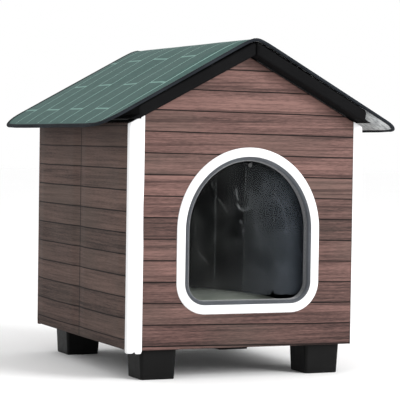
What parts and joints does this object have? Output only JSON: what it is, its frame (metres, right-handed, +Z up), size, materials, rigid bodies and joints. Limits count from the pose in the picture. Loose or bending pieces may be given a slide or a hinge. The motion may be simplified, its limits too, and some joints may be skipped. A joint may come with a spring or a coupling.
{
  "type": "cat shelter",
  "caption": "Foldable fabric cat house with plank-print walls, a gabled lift-off roof that folds at its ridge, an arched doorway with a clear strip curtain, a padded mat and stubby feet.",
  "frame": {"origin": "on the floor, under the middle of the roof's outline", "axes": "+X towards the right of the front wall, +Y from the front wall to the rear, +Z up"},
  "size_m": [0.4184, 0.424, 0.439],
  "materials": {
    "wood_print": "matte",
    "roof_print": "matte",
    "slate_binding": "matte",
    "black_fabric": "matte",
    "lining_fabric": "matte",
    "foam_board": "matte",
    "white_trim": "satin",
    "hook_and_loop": "matte",
    "mat_fabric": "matte",
    "clear_sheet": "gloss",
    "clear_plastic": "gloss",
    "foot_plastic": "satin",
    "zinc_steel": "satin"
  },
  "bodies": {
    "house": {"wall_hook_tapes_left": "hook_and_loop", "left_cover": "wood_print", "left_front_leaf": "foam_board", "left_rear_leaf": "foam_board", "left_lining": "lining_fabric", "corner_trim_left": "white_trim", "wall_hook_tapes_right": "hook_and_loop", "right_cover": "wood_print", "right_front_leaf": "foam_board", "right_rear_leaf": "foam_board", "right_lining": "lining_fabric", "corner_trim_right": "white_trim", "front_cover": "wood_print", "front_board": "foam_board", "front_lining": "lining_fabric", "rear_cover": "wood_print", "rear_board": "foam_board", "rear_lining": "lining_fabric", "door_frame_band": "white_trim", "door_edge_binding": "slate_binding", "base_cover": "black_fabric", "floor_board": "foam_board", "floor_lining": "lining_fabric", "floor_mat": "mat_fabric", "curtain_header": "clear_sheet", "curtain_snap": "clear_plastic", "header_tape": "hook_and_loop", "foot_front_left": "foot_plastic", "foot_front_right": "foot_plastic", "foot_rear_left": "foot_plastic", "foot_rear_right": "foot_plastic", "foot_screws": "zinc_steel", "foot_nuts": "zinc_steel"},
    "roof_right": {"roof_cover_right": "roof_print", "roof_binding_right": "slate_binding", "roof_sleeve_right": "black_fabric", "roof_board_right": "foam_board", "roof_loop_tapes_right": "hook_and_loop"},
    "roof_left": {"roof_cover_left": "roof_print", "roof_binding_left": "slate_binding", "roof_sleeve_left": "black_fabric", "roof_board_left": "foam_board", "roof_loop_tapes_left": "hook_and_loop"},
    "door_strip_1": {"door_strip_1": "clear_sheet"},
    "door_strip_2": {"door_strip_2": "clear_sheet"},
    "door_strip_3": {"door_strip_3": "clear_sheet"},
    "door_strip_4": {"door_strip_4": "clear_sheet"}
  },
  "joints": [
    {"name": "roof_lift", "type": "slide", "parent": "house", "child": "roof_right", "axis": [0, 0, 1], "range_m": [0, 0.2]},
    {"name": "roof_fold", "type": "hinge", "parent": "roof_right", "child": "roof_left", "pos_m": [0, 0, 0.44071], "axis": [0, 1, 0], "range_deg": [0, 220]},
    {"name": "strip_1_swing", "type": "hinge", "parent": "house", "child": "door_strip_1", "pos_m": [-0.06475, -0.1777, 0.268], "axis": [1, 0, 0], "range_deg": [0, 75]},
    {"name": "strip_2_swing", "type": "hinge", "parent": "house", "child": "door_strip_2", "pos_m": [-0.0185, -0.1777, 0.268], "axis": [1, 0, 0], "range_deg": [-75, 75]},
    {"name": "strip_3_swing", "type": "hinge", "parent": "house", "child": "door_strip_3", "pos_m": [0.0235, -0.1777, 0.268], "axis": [1, 0, 0], "range_deg": [-75, 75]},
    {"name": "strip_4_swing", "type": "hinge", "parent": "house", "child": "door_strip_4", "pos_m": [0.06975, -0.1777, 0.268], "axis": [1, 0, 0], "range_deg": [0, 75]}
  ]
}
